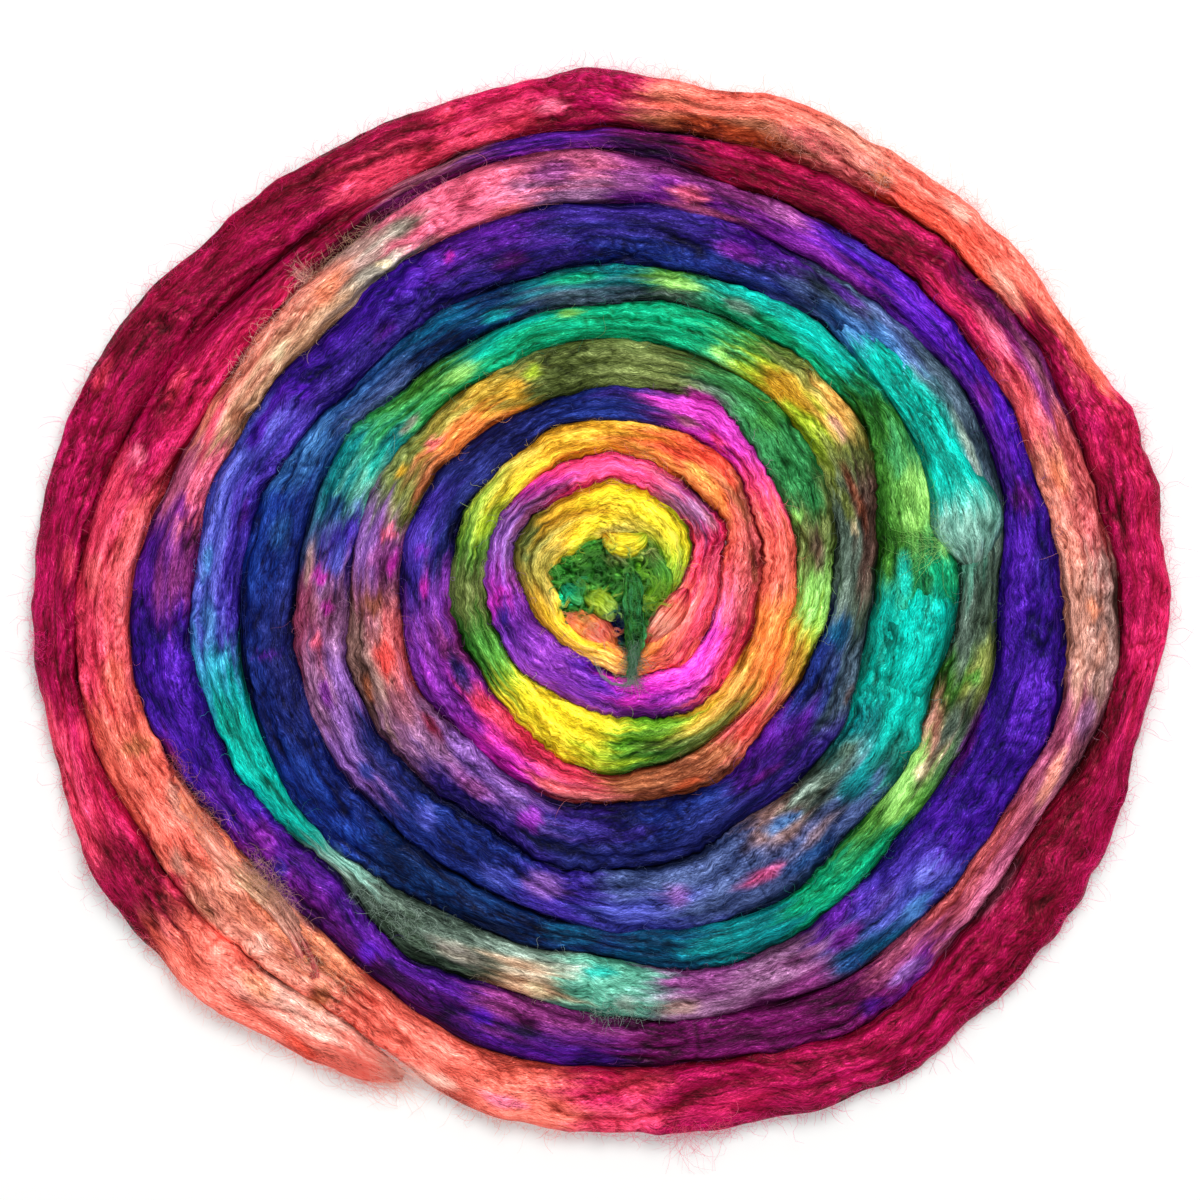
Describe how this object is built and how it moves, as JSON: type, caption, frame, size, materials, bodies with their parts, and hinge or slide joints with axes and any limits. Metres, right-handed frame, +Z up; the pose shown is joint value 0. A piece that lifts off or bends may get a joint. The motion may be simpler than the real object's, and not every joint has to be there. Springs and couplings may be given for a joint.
{
  "type": "silk roving",
  "caption": "Hand-dyed silk roving laid out flat in an oval spiral coil, thin outer end against the coil and a loose green end falling from the middle tuft.",
  "frame": {"origin": "middle of the coil's outline box, on the surface that it lies on", "axes": "+X along the coil's longer side, +Y along its shorter side, +Z up out of the surface"},
  "size_m": [0.568, 0.53, 0.0234],
  "materials": {
    "variegated_silk": "fine combed silk fibres with a soft sheen, dyed in runs from crimson and violet through blue, teal and green to pink, orange and yellow",
    "green_silk": "loose combed silk fibres with a soft sheen, dyed leaf green"
  },
  "bodies": {
    "root": {"wound_silk_roving": "variegated_silk", "loose_inner_end": "green_silk"}
  },
  "joints": []
}
